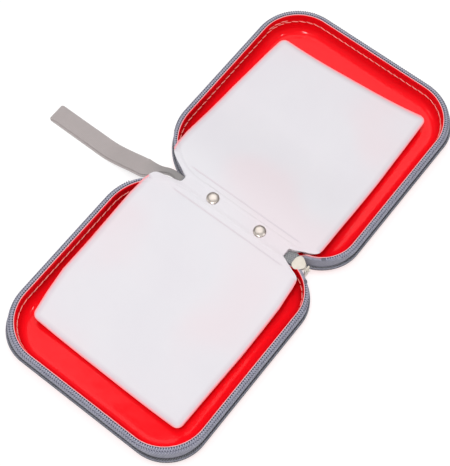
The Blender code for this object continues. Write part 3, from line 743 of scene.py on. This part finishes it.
def makeStitches(label, side):
    # A running stitch below the rim: short threads that dip into the wall at both ends
    level = rimTop - stitch["below"]
    inset = float(trayCurve(angleAt(level))[0])
    route = routeOf(-inset, stitch["start"])
    count = int(route[1][-1] / stitch["pitch"])
    t = np.linspace(-1, 1, stitch["sections"])
    turn = np.linspace(0, 2 * math.pi, stitch["sides"], endpoint=False)
    rows = np.arange(stitch["sections"])[:, None] * stitch["pattern"][0]
    columns = np.arange(stitch["sides"] + 1)[None] * stitch["pattern"][1]
    uv = stacked(rows, columns, 0)[..., :2]
    swell = (np.sqrt(1 - t ** 6) * stitch["radius"])[:, None]
    threads = [(i, 0.0) for i in range(count)]
    if side > 0:
        first, last = stitch["double"]
        threads += [(i + 0.5, stitch["second"]) for i in range(count - first, count - last)]
    middle, ends, higher = stitch["depth"]
    store = newStore()
    for index, aside in threads:
        reach = t * (stitch["pitch"] - stitch["gap"]) / 2
        place, direction, outward = placesAlong(route, (index + 0.5) * stitch["pitch"] + reach)
        depth = middle - ends * t ** 4 - aside * higher
        spot = (place - outward * depth[:, None])[:, None]
        ring = spot - outward[:, None] * (np.cos(turn) * swell)[..., None]
        rise = level + aside + stitch["slant"] * t[:, None] + np.sin(turn) * swell
        addGrid(store, stacked(ring[..., 0], ring[..., 1], rise), uv, wrap=True)
    piece = finishMesh(label + "_stitching", store, thread, side, 60)
    dress(piece, label + "_shell", "inner_tray")


for label, side in sides.items():
    for make in (makeTray, makeCover, makeTape, makePiping, makeCoil, makeWelt, makeStops, makeStitches):
        make(label, side)
print("shells made")


def closeEnds(store, faces, uv=None):
    # a strip between the lower and the upper face closes each end of a flat band
    count = faces.shape[1] // 2
    for row in (0, -1):
        addGrid(store, np.stack([faces[row, :count], faces[row, count:][::-1]]), uv)


def bend(piece, side, near, far):
    # a piece that crosses one of the spine's folds has its place baked into its mesh; near and far are not
    # used
    near = (spineX * mm + side * near * mm, 0, 0)
    far = (spineX * mm + side * far * mm, 0, 0)
    if side < 0:
        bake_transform(piece)
    else:
        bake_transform(piece)


sleeve = {
    "layers": 5,
    "atSpine": 4,  # thickness of the stack
    "atEdge": 5.5,
    "notchReach": 11.3,
    "slopeEnd": 80,
    "sideLift": (3.6, 3),  # how high the stack lies at its sides, and the power of the width it follows
    "cornerRadius": 4.5,
    "weld": 10.4,
    "weldDepth": 0.35,
    "weldWidth": 0.5,
    "weldEnd": (48, 4),  # where along the spine the weld line ends, and over what length it fades
    "alongSteps": ((0, 26, 66), (27.5, 133, 64), (133.5, 140, 16)),  # stations, closer at both ends
    "acrossSteps": 65,
    "shorter": 0.35,  # how much each sleeve falls short of the one above it, and how much narrower it is
    "narrower": 0.5,
    "narrowLayers": 3,
    "narrowFrom": (2, 8),
    "shift": 0.8,  # how far a lower sleeve may lie aside, and from where
    "shiftFrom": (14, 30),
    "clear": (0.5, 0.6),  # above the tray's floor, and above its curve
    "rimRise": 0.8,  # how high over the rim the tray may lift the stack
    "overRim": (0.32, 0.22),  # height over the rim of the middle sleeve, and between two sleeves
    "rimReach": (0.9, 1.2),  # distance inside the rim line where the stack lies thin, and over what length
    "rimFrom": (3, 4),  # not beside the spine, where the rim is low
    "puff": 3.5,  # how far in from its edge a sleeve reaches its thickness
    "edgeHalf": 0.1,
    "play": 0.13,  # between one sleeve and the next
    "redFrom": (9, 5),  # beside the spine the painted red glow and the painted shade band are kept off the edge up to here
    "bend": (0.2, 8.5),  # distances from the spine's middle, handed to bend
    # each half's plan: its two edges as distances from the spine against distances along it
    "right": {
        "reach": (139.8, -4.2),  # middle of the far edge, and how much further out its -Y end lies
        "plusX": (0, 1.2, 2.2, 3.7, 7.5, 9.5, 11.4, 14.3, 20, 30, 44, 78, 120, 146),
        "plusY": (45, 45, 45.4, 48.8, 56.9, 60.4, 63, 65.4, 66.4, 66.8, 66.4, 65.8, 63.2, 60.6),
        "minusX": (0, 1.4, 2.4, 4.3, 7.9, 9.2, 10.6, 12, 14.4, 22.9, 30, 84, 129, 146),
        "minusY": (42.9, 42.9, 43.2, 48.6, 55.8, 58.2, 60, 61, 61.6, 61.6, 61.4, 60.4, 58.9, 58),
    },
    "left": {
        "reach": (139, -0.6),
        "plusX": (0, 1.8, 3.2, 5.7, 7.1, 8, 9.5, 11.9, 17.2, 30, 61, 100, 119, 146),
        "plusY": (45, 45, 46, 53.8, 60.4, 63, 64.6, 65.6, 66.8, 68, 68.8, 69, 66.6, 61.6),
        "minusX": (0, 3, 4.5, 7.3, 10.2, 11.4, 12.7, 14.8, 19.8, 35, 77, 118, 140, 146),
        "minusY": (42.9, 42.9, 43.2, 50.2, 57.6, 59.6, 60.6, 61.4, 62.1, 63.4, 63, 62.1, 61.8, 61.8),
    },
}
rng = np.random.default_rng(11)


def trayLevel(x, y):
    # Height of the tray's inner face under a point, from its distance inside the rim line
    hingeRadius = half["hingeRadius"] + half["rounder"] * (y > 0)
    radius = np.where(x < (rimStart + rimEnd) / 2, hingeRadius, half["outerRadius"])
    reach = (rimEnd - rimStart) / 2
    qx = np.abs(x - rimStart - reach) - reach + radius
    qy = np.abs(y) - rimSide + radius
    inside = radius - np.hypot(np.maximum(qx, 0), np.maximum(qy, 0)) - np.minimum(np.maximum(qx, qy), 0)
    inset, height = trayCurve(np.linspace(math.pi / 2, 0, 90))
    return np.interp(inside, inset, height), inside


def makeSleeve(label, side, layer):
    # A thin pillow: a lower and an upper face over the same plan, which meet at a welded edge
    plan = sleeve[label]
    top = layer == sleeve["layers"] - 1
    under = sleeve["layers"] - 1 - layer
    s = np.concatenate([np.linspace(*part) for part in sleeve["alongSteps"]])[:, None]
    s = s / sleeve["alongSteps"][-1][1]
    v = np.sin(np.linspace(-1, 1, sleeve["acrossSteps"]) * math.pi / 2)[None]
    middleReach, skew = plan["reach"]
    reach = middleReach + skew * v - sleeve["shorter"] * under
    x = s * reach
    radius = sleeve["cornerRadius"]
    into = np.clip(x - (reach - radius), 0, radius)
    corner = radius - np.sqrt(np.maximum(radius ** 2 - into ** 2, 0))
    narrow = min(under, sleeve["narrowLayers"]) * sleeve["narrower"] * smooth(x, *sleeve["narrowFrom"])
    plus = np.interp(x, plan["plusX"], plan["plusY"]) - corner - narrow
    minus = np.interp(x, plan["minusX"], plan["minusY"]) - corner - narrow
    edge = (plus + minus) / 2
    middle = (plus - minus) / 2
    y = edge * v + middle
    # the stack falls from the rivets to the tray's floor, and lies over the tray's curve or its rim
    fall = smooth(x, sleeve["notchReach"], sleeve["slopeEnd"] - sleeve["notchReach"])
    sideLift, sidePower = sleeve["sideLift"]
    lift = sideLift * np.abs(v) ** sidePower * fall
    thick = sleeve["atSpine"] + (sleeve["atEdge"] - sleeve["atSpine"]) * smooth(x, 0, sleeve["slopeEnd"])
    step = thick / sleeve["layers"]
    overFloor, overCurve = sleeve["clear"]
    base = stackBase + (floorHeight + overFloor - stackBase) * fall + lift
    ground, fromRim = trayLevel(x, y)
    floor = np.where(x > sleeve["notchReach"], ground + overCurve, 0)
    floor = np.minimum(floor, rimTop + sleeve["rimRise"] - thick)
    centre = np.maximum(base, floor) + step * (layer + 0.5)
    rimReach, rimFade = sleeve["rimReach"]
    overRim = smooth(rimReach - fromRim, 0, rimFade) * smooth(x, *sleeve["rimFrom"])
    above, apart = sleeve["overRim"]
    spread = apart * (layer - sleeve["layers"] // 2)
    centre = centre + np.maximum(0, rimTop + above + spread - centre) * overRim
    # each sleeve swells in from its edge, and the top one is pressed in along its weld
    inside = np.minimum(edge - np.abs(y - middle), reach - x)
    pillow = smooth(inside, 0, sleeve["puff"]) * (1 - overRim)
    halfThick = sleeve["edgeHalf"] + (step * 0.5 - sleeve["play"]) * pillow
    weldEnd, weldFade = sleeve["weldEnd"]
    weld = np.exp(-((x - sleeve["weld"]) / sleeve["weldWidth"]) ** 2)
    weld = weld * smooth(weldEnd - np.abs(y), 0, weldFade)
    upper = centre + halfThick - sleeve["weldDepth"] * weld * top
    lower = centre - halfThick
    away = smooth(x, *sleeve["shiftFrom"])
    shiftX, shiftY = (0, 0) if top else rng.uniform(-sleeve["shift"], sleeve["shift"], 2)
    x = x + shiftX * away
    y = y + shiftY * away
    faces = np.concatenate([stacked(x, y, lower), stacked(x, y, upper)[:, ::-1]], axis=1)
    # distance inside the edge that places the painted red glow and the painted shade band; beside the spine
    # it is held far inside
    blush = inside + sleeve["redFrom"][0] * (1 - smooth(x, *sleeve["redFrom"]))
    uvInside = np.concatenate([blush, blush[:, ::-1]], axis=1)
    uvWeld = np.concatenate([0 * weld, (weld * top)[:, ::-1]], axis=1)
    uv = np.stack([uvInside, uvWeld], axis=-1)
    store = addGrid(newStore(), faces, np.concatenate([uv, uv[:, :1]], axis=1), wrap=True)
    closeEnds(store, faces, np.full((2, faces.shape[1] // 2, 2), (sleeve["redFrom"][0], 0.0)))
    piece = finishMesh(f"{label}_sleeve_{layer + 1}", store, film, side, 50)
    if top:
        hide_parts(label + "_pages", *(["binding_margin"] if side > 0 else []))
    bend(piece, side, *sleeve["bend"])


for label, side in sides.items():
    for layer in range(sleeve["layers"]):
        makeSleeve(label, side, layer)
print("sleeves made")

rivet = {
    "radius": 4.5,
    "height": 1.3,
    "brim": 0.25,  # thickness of the head at its edge
    "crown": 0.8,  # power of the cosine that shapes the dome: below one, its top is flatter
    "tuck": (0.3, 0.15),  # how far the head's edge turns in, and down
    "post": 1.5,
    "washer": 3.2,
    "hole": 1.8,
    "chamfer": 0.2,
    "steps": 48,
    "domeSteps": 14,
}


def turnedPiece(name, profile, y, material):
    # a profile of radius and height turned about an upright axis
    turn = np.linspace(0, 2 * math.pi, rivet["steps"], endpoint=False)
    radius, height = np.array(profile).T
    rings = stacked(radius[:, None] * np.cos(turn), y + radius[:, None] * np.sin(turn), height[:, None])
    return finishMesh(name, addGrid(newStore(), rings, wrap=True), material, 1, 45)


def makeRivets():
    # A domed head with a faint flat on top, on a post, and a pressed washer under the cloth
    for label in ("upper", "lower"):
        low, high = cadBox(label + "_rivet")
        y = (low[1] + high[1]) / 2
        seat = high[2] - rivet["height"]
        turn = np.linspace(0, math.pi / 2, rivet["domeSteps"])
        dome = seat + rivet["brim"] + (rivet["height"] - rivet["brim"]) * np.cos(turn) ** rivet["crown"]
        radius, post = rivet["radius"], rivet["post"]
        under = seat - rivet["tuck"][1]
        profile = list(zip(radius * np.sin(turn), dome))
        profile += [(radius, seat), (radius - rivet["tuck"][0], under), (post, under)]
        profile += [(post, low[2]), (0, low[2])]
        head = turnedPiece(label + "_rivet_domed", profile, y, nickel)
        dress(head, "spine", "nickel", label + "_rivet")
        base, top = (corner[2] for corner in cadBox(label + "_rivet_washer"))
        hole, outer, chamfer = rivet["hole"], rivet["washer"], rivet["chamfer"]
        ring = [(hole, top), (outer - chamfer, top), (outer, top - chamfer), (outer, base + chamfer)]
        ring += [(outer - chamfer, base), (hole, base), (hole, top)]
        washer = turnedPiece(label + "_washer_pressed", ring, y, nickel)
        dress(washer, "spine", "nickel", label + "_rivet_washer")


makeRivets()
print("rivets made")

hinge = {
    "thickness": 0.7,
    "reach": 4.6,
    "ends": (-49.8, 47.5),
    "bend": (1, 4.5),
    "rows": 16,
    "columns": 70,
}


def makeHingeCloth(label, side):
    # A strip of tape on each side of the spine's middle line
    clothTop = cadBox("hinge_cloth")[1][2]
    x = np.linspace(0, hinge["reach"], hinge["rows"])[:, None]
    y = np.linspace(*hinge["ends"], hinge["columns"])[None] + 0 * x
    lower = stacked(x, y, clothTop - hinge["thickness"])
    faces = np.concatenate([lower, stacked(x, y, clothTop)[:, ::-1]], axis=1)
    across = np.concatenate([y, y[:, ::-1]], axis=1)
    uv = stacked(across, x + 0 * across, 0)[..., :2]
    store = addGrid(newStore(), faces, np.concatenate([uv, uv[:, :1]], axis=1), wrap=True)
    closeEnds(store, faces)
    piece = finishMesh(label + "_hinge_tape", store, hingeCloth, side, 50)
    if side < 0:
        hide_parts("hinge_cloth")
    bend(piece, side, *hinge["bend"])


for label, side in sides.items():
    makeHingeCloth(label, side)
print("hinge made")

strap = {
    "thickness": 0.75,
    "gap": 0.25,  # between the ribbon's two layers
    "width": 14.5,
    "rootWidth": 5.2,
    "drift": -8.4,
    "turnAt": (54, 22),  # where it turns aside round the left half's corner, and over what length
    "openAt": (61, 13),  # where its gathered root opens out
    "held": 15.4,
    "lying": 1.3,
    "fall": (0.16, 0.42),  # share of its length where it starts to fall, and over which it does
    "under": 1.4,  # how much of the lower layer shows along one edge, save near the root and the fold
    "underRoot": (0, 0.1),
    "underEnd": 4,
    "pinch": (0.25, 3),  # share by which the layers close up at the fold, and over what length
    "thinEdge": (0.6, 8),  # share by which its edges are thinner, and the power of the width it follows
    "wave": (0.12, 9, (0, 0.3)),  # the upper layer's faint waves: height, length for each radian, rise
    "rounding": (0.12, 1.6),  # share of its width lost at its end, and over what length
    "stations": 120,
    "columns": 13,
}


def strapRoute(share):
    # Middle line and width along the strap: out of the notch, then a smooth fall to the table
    y = strapLow[1] + (strapHigh[1] - strapLow[1]) * share
    x = strap["drift"] * smooth(y, *strap["turnAt"])
    z = strap["held"] + (strap["lying"] - strap["held"]) * smooth(share, *strap["fall"])
    width = strap["rootWidth"] + (strap["width"] - strap["rootWidth"]) * smooth(y, *strap["openAt"])
    return np.stack([x, y, z], axis=-1), width


def makeStrap():
    # Two flat layers, each an oblong section carried along the route; they meet in a fold at the far end
    share = np.linspace(0, 1, strap["stations"])
    middle, width = strapRoute(share)
    ahead = unit(np.gradient(middle, axis=0))
    across = unit(np.cross(ahead, (0, 0, 1)))
    up = np.cross(across, ahead)
    along = lengthAlong(middle)
    fromEnd = along[-1] - along
    lost, lostOver = strap["rounding"]
    rounded = 1 - lost * (1 - np.sqrt(np.clip(fromEnd / lostOver, 0, 1)))
    v = np.linspace(-1, 1, strap["columns"])
    thinShare, thinPower = strap["thinEdge"]
    thin = strap["thickness"] / 2 * (1 - thinShare * np.abs(v) ** thinPower)
    pinch, pinchOver = strap["pinch"]
    apart = (strap["thickness"] + strap["gap"]) / 2 * (1 - pinch * (1 - smooth(fromEnd, 0, pinchOver)))
    waveHeight, waveLength, waveRise = strap["wave"]
    wave = waveHeight * np.sin(along / waveLength) * smooth(share, *waveRise)
    narrower = smooth(fromEnd, 0, strap["underEnd"]) * smooth(share, *strap["underRoot"])
    own = width - strap["under"] * narrower
    store = newStore()
    for sign, crown in ((-1, 0 * wave), (1, wave)):
        shift = sign * (width - own) / 2
        centre = sign * apart + crown
        edges = []
        for face in (-1, 1):
            height = centre[:, None] + face * thin
            aside = shift[:, None] + v * (own * rounded / 2)[:, None]
            spot = middle[:, None] + across[:, None] * aside[..., None]
            edges.append(spot + up[:, None] * height[..., None])
        faces = np.concatenate([edges[0], edges[1][:, ::-1]], axis=1)
        place = v * width.mean() / 2
        place = np.concatenate([place, place[::-1], place[:1]])
        addGrid(store, faces, stacked(along[:, None], place[None], 0)[..., :2], wrap=True)
        closeEnds(store, faces)
    piece = finishMesh("strap_ribbon_doubled", store, satin, 1, 50)
    dress(piece, "spine", "strap_ribbon", "wrist_strap")


makeStrap()
print("strap made")

slider = {
    # its plates' plans from above: the cap, clockwise from the hinge cloth's corner, the body and the foot
    "cap": (
        (1.2, -50.4), (3.9, -53.6), (0.6, -58.8), (-2.6, -59.6), (-5.7, -57.7), (-7.7, -54), (-5.9, -50.4),
    ),
    "body": ((2, -52.6), (1.6, -59), (-3.4, -59), (-3, -52.6)),
    "foot": ((3, -53), (2.8, -56.5), (0.6, -59.4), (-2.4, -59.9), (-4, -57), (-3.6, -53)),
    # each plate's lowest and highest level, and its bevel
    "levels": {"cap": (18.85, 20.15, 0.45), "body": (16.2, 18.95, 0.2), "foot": (15.4, 16.5, 0.3)},
    "cut": 0.22,  # share of each side that rounding cuts off at a corner
    "softer": 0.3,  # share of the bevel that its upper edge is rounded by
    "loopAt": (-60, 15.6),  # middle and top of the loop that holds the pull
    "loopReach": 2.2,
    "loopClear": 0.5,
    "loopPower": 0.6,  # below one, so that it hangs as a squared U
    "loopHalf": (0.8, 0.5),  # half its section
    "loopSteps": 15,
    "loopSides": 10,
}


def roundedPlan(points, times=3):
    # every corner is cut by a share of each side, a few times over
    plan = np.array(points, dtype=float)
    cut = slider["cut"]
    for _ in range(times):
        following = np.roll(plan, -1, axis=0)
        pair = (plan * (1 - cut) + following * cut, plan * cut + following * (1 - cut))
        plan = np.stack(pair, axis=1).reshape(-1, 2)
    return plan


def slab(store, plan, low, high, bevel):
    # a flat plate over a plan: its rings step in at both faces by a bevel, then close at the middle
    middle = plan.mean(axis=0)
    away = plan - middle
    size = np.linalg.norm(away, axis=-1, keepdims=True)
    steps = ((None, low), (bevel, low), (0, low + bevel), (0, high - bevel))
    softer = bevel * slider["softer"]
    steps += ((softer, high - softer), (bevel, high), (None, high))
    rings = []
    for inset, z in steps:
        spot = middle + 0 * away if inset is None else middle + away * (1 - inset / size)
        rings.append(np.concatenate([spot, np.full((len(spot), 1), z)], axis=-1))
    return addGrid(store, np.array(rings), wrap=True)


def makeSlider():
    # Cap, body between the two tapes, foot under them, and the loop that holds the pull
    store = newStore()
    for name, (low, high, bevel) in slider["levels"].items():
        slab(store, roundedPlan(slider[name]), low, high, bevel)
    y, top = slider["loopAt"]
    turn = np.linspace(0, math.pi, slider["loopSteps"])
    lowest = cadBox("zip_slider")[0][2] + slider["loopClear"]
    z = top - (top - lowest) * np.sin(turn) ** slider["loopPower"]
    loop = np.stack([0 * turn, y + slider["loopReach"] * np.cos(turn), z], axis=-1)
    across = np.array((1.0, 0, 0))
    up = np.cross(across, unit(np.gradient(loop, axis=0)))
    wide, high = slider["loopHalf"]
    ring = np.linspace(0, 2 * math.pi, slider["loopSides"], endpoint=False)[:, None]
    tube = loop[:, None] + across * np.cos(ring) * wide + up[:, None] * np.sin(ring) * high
    ends = loop[[0, -1], None].repeat(slider["loopSides"], axis=1)
    addGrid(store, np.concatenate([ends[:1], tube, ends[1:]]), wrap=True)
    piece = finishMesh("slider_cast", store, enamel, 1, 40)
    dress(piece, "left_shell", "nickel", "zip_slider")


makeSlider()
print("slider made")


def setMaterial(node, material):
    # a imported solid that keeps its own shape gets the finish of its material
    thing = frame["nodes"][node]
    thing.data.materials.clear()
    thing.data.materials.append(material)


setMaterial("pull_tab", enamel)

# Camera at the photograph's viewing angle; the picture is 450 by 466, so the sensor is its height
view = {
    "azimuth": -51.96,
    "elevation": 65.88,
    "distance": 911.4,
    "target": (-8.05, 3.27, 0),
    "focalPixels": 1322.9,
    "pictureHeight": 466,
}


def makeCamera():
    # back is the direction from the target to the camera
    azimuth = math.radians(view["azimuth"])
    elevation = math.radians(view["elevation"])
    flat = math.cos(elevation)
    back = np.array([math.sin(azimuth) * flat, -math.cos(azimuth) * flat, math.sin(elevation)])
    right = unit(np.cross(-back, (0, 0, 1)))
    data = bpy.data.cameras.new("camera")
    data.lens = view["focalPixels"] * data.sensor_width / view["pictureHeight"]
    data.clip_start = 0.05
    data.clip_end = 10
    camera = bpy.data.objects.new("camera", data)
    bpy.context.scene.collection.objects.link(camera)
    camera.location = (np.array(view["target"]) + (spineX, 0, 0) + back * view["distance"]) * mm
    camera.rotation_mode = "QUATERNION"
    matrix = np.stack([right, np.cross(right, -back), back], axis=1)
    camera.rotation_quaternion = Matrix(matrix.tolist()).to_quaternion()
    bpy.context.scene.camera = camera


makeCamera()

studio = {
    "floor": "#9A9A9A",
    "floorGlow": 0.72,  # lit from below as a product table is, so that it takes little colour from the case
    "floorHalf": 6,  # metres
    "white": "#FFFFFF",
    "worldPower": 0.2,
    # name: place from the object in millimetres, size, power
    "lights": {
        "softbox_above": ((-150, -60, 1500), 800, 11.2),
        "lamp_right": ((-495, -130, 1500), 70, 5),
        "lamp_left": ((280, -700, 1500), 60, 2.4),
        "panel_behind": ((620, 480, 1500), 800, 3.2),  # mirrored by the rivets and the plate of the slider
        "softbox_side": ((-500, 900, 1100), 500, 1.6),
    },
}


def makeStudio():
    # Softboxes face the object from high up, out of the way of its mirror directions to the camera
    material, tree = newMaterial("matt_paper_white")[:2]
    links = {"Base Color": linear(studio["floor"]), "Roughness": 0.95, "Specular IOR Level": 0.0}
    links.update({"Emission Color": linear(studio["white"]), "Emission Strength": studio["floorGlow"]})
    connect(tree, tree.nodes["Principled BSDF"], links)
    reach = studio["floorHalf"]
    corners = [(-reach, -reach, 0), (reach, -reach, 0), (reach, reach, 0), (-reach, reach, 0)]
    mesh = bpy.data.meshes.new("floor")
    mesh.from_pydata(corners, [], [(0, 1, 2, 3)])
    mesh.materials.append(material)
    floor = bpy.data.objects.new("floor", mesh)
    bpy.context.scene.collection.objects.link(floor)
    floor.location = (0, 0, cadLow[2])
    world = bpy.data.worlds.new("studio")
    world.use_nodes = True
    background = world.node_tree.nodes["Background"]
    background.inputs[0].default_value = linear(studio["white"])
    background.inputs[1].default_value = studio["worldPower"]
    bpy.context.scene.world = world
    for name, (place, size, power) in studio["lights"].items():
        data = bpy.data.lights.new(name, "AREA")
        data.size = size * mm
        data.energy = power
        light = bpy.data.objects.new(name, data)
        bpy.context.scene.collection.objects.link(light)
        light.location = (Vector(place) + Vector((spineX, 0, 0))) * mm
        light.rotation_mode = "QUATERNION"
        light.rotation_quaternion = Vector(place).to_track_quat("Z", "Y")
        light.visible_glossy = name != "softbox_above"  # the small lamps alone shine back from the red
    bpy.context.scene.view_settings.view_transform = "Standard"  # keeps the red as saturated as it is


makeStudio()
print("studio made")
